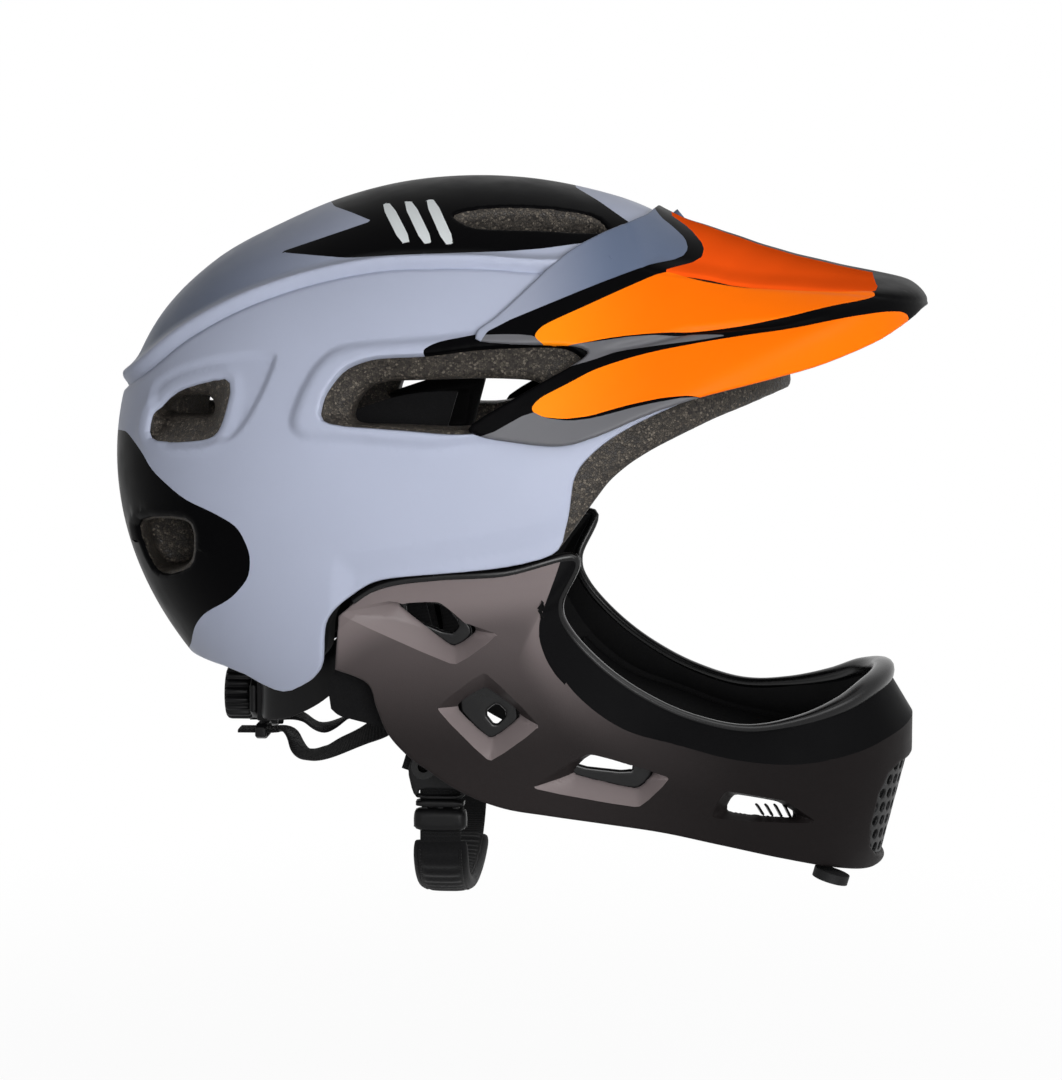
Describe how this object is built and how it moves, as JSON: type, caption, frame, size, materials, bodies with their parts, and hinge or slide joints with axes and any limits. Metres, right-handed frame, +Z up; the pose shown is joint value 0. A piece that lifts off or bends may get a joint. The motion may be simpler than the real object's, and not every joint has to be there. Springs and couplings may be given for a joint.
{
  "type": "full-face bicycle helmet",
  "caption": "Child's full-face bicycle helmet with a vented shell, slotted peak, pull-off chin guard, dial-adjusted band and buckled chin strap.",
  "frame": {"origin": "centre of the wearer's head, on the helmet's middle plane", "axes": "+X forward, +Y to the wearer's left, +Z up"},
  "size_m": [0.3186, 0.2056, 0.2848],
  "materials": {
    "shell": "satin lacquered polycarbonate skin, blue-grey with black panels",
    "foam": "moulded expanded polystyrene beads, near black",
    "pad": "brushed pad cloth over soft foam",
    "webbing": "woven nylon webbing",
    "fitting": "black moulded acetal",
    "guard": "satin charcoal fading to near black at the front",
    "lining": "matte black foam lining",
    "peak": "glossy orange panels with black borders and a blue-grey root",
    "rubber": "soft matte rubber",
    "steel": "zinc-plated steel"
  },
  "bodies": {
    "helmet": {"outer_shell": "shell", "foam_liner": "foam", "brow_pad": "pad", "crown_pad": "pad", "side_pad_left": "pad", "side_pad_right": "pad", "peak_sockets": "fitting", "guard_sockets": "fitting", "band_anchors": "fitting", "strap_anchors": "fitting", "strap_eyelets": "fitting", "front_strap_left": "webbing", "front_strap_right": "webbing", "rear_strap_left": "webbing", "rear_strap_right": "webbing", "nape_strap_left": "webbing", "nape_strap_right": "webbing"},
    "peak_assembly": {"peak": "peak", "peak_pins": "fitting"},
    "guard_assembly": {"chin_guard": "guard", "guard_foam": "lining", "mouth_grille": "fitting", "guard_tongues": "fitting", "guard_screws": "steel", "cheek_pad_left": "pad", "cheek_pad_right": "pad", "guard_feet": "rubber"},
    "chin_hanger": {"strap_divider_left": "fitting", "strap_divider_right": "fitting", "short_chin_strap": "webbing", "buckle_plug": "fitting"},
    "chin_loop": {"long_chin_strap": "webbing", "buckle_socket": "fitting", "chin_pad": "pad"},
    "cradle_assembly": {"cradle": "fitting", "cradle_pad": "pad", "dial_case": "fitting", "strap_guides": "fitting"},
    "dial": {"dial_knob": "fitting", "dial_pinion": "fitting"},
    "left_band": {"band_left": "fitting"},
    "right_band": {"band_right": "fitting"}
  },
  "joints": [
    {"name": "peak_release", "type": "slide", "parent": "helmet", "child": "peak_assembly", "axis": [0.766, 0, 0.6428], "range_m": [0, 0.09]},
    {"name": "guard_release", "type": "slide", "parent": "helmet", "child": "guard_assembly", "axis": [0.5, 0, -0.866], "range_m": [0, 0.11]},
    {"name": "chin_swing", "type": "hinge", "parent": "helmet", "child": "chin_hanger", "pos_m": [-0.009, 0, -0.1355], "axis": [0, 1, 0], "range_deg": [-18, 18]},
    {"name": "buckle_release", "type": "slide", "parent": "chin_hanger", "child": "chin_loop", "axis": [0, 0, -1], "range_m": [0, 0.016]},
    {"name": "cradle_draw", "type": "slide", "parent": "helmet", "child": "cradle_assembly", "axis": [1, 0, 0], "range_m": [0, 0.00383]},
    {"name": "dial_spin", "type": "hinge", "parent": "cradle_assembly", "child": "dial", "pos_m": [-0.08, 0, -0.1185], "axis": [1, 0, 0], "range_deg": [0, 100.3]},
    {"name": "band_left_draw", "type": "hinge", "parent": "helmet", "child": "left_band", "pos_m": [0.05, 0.0665, -0.018], "axis": [0, 0, 1], "range_deg": [0, 3.2]},
    {"name": "band_right_draw", "type": "hinge", "parent": "helmet", "child": "right_band", "pos_m": [0.05, -0.0665, -0.018], "axis": [0, 0, -1], "range_deg": [0, 3.2]}
  ],
  "couplings": [
    {"joint": "band_left_draw", "follows": "dial_spin", "ratio": 0.03125},
    {"joint": "band_right_draw", "follows": "dial_spin", "ratio": 0.03125},
    {"joint": "cradle_draw", "follows": "dial_spin", "m_per_rad": 0.0020781}
  ]
}
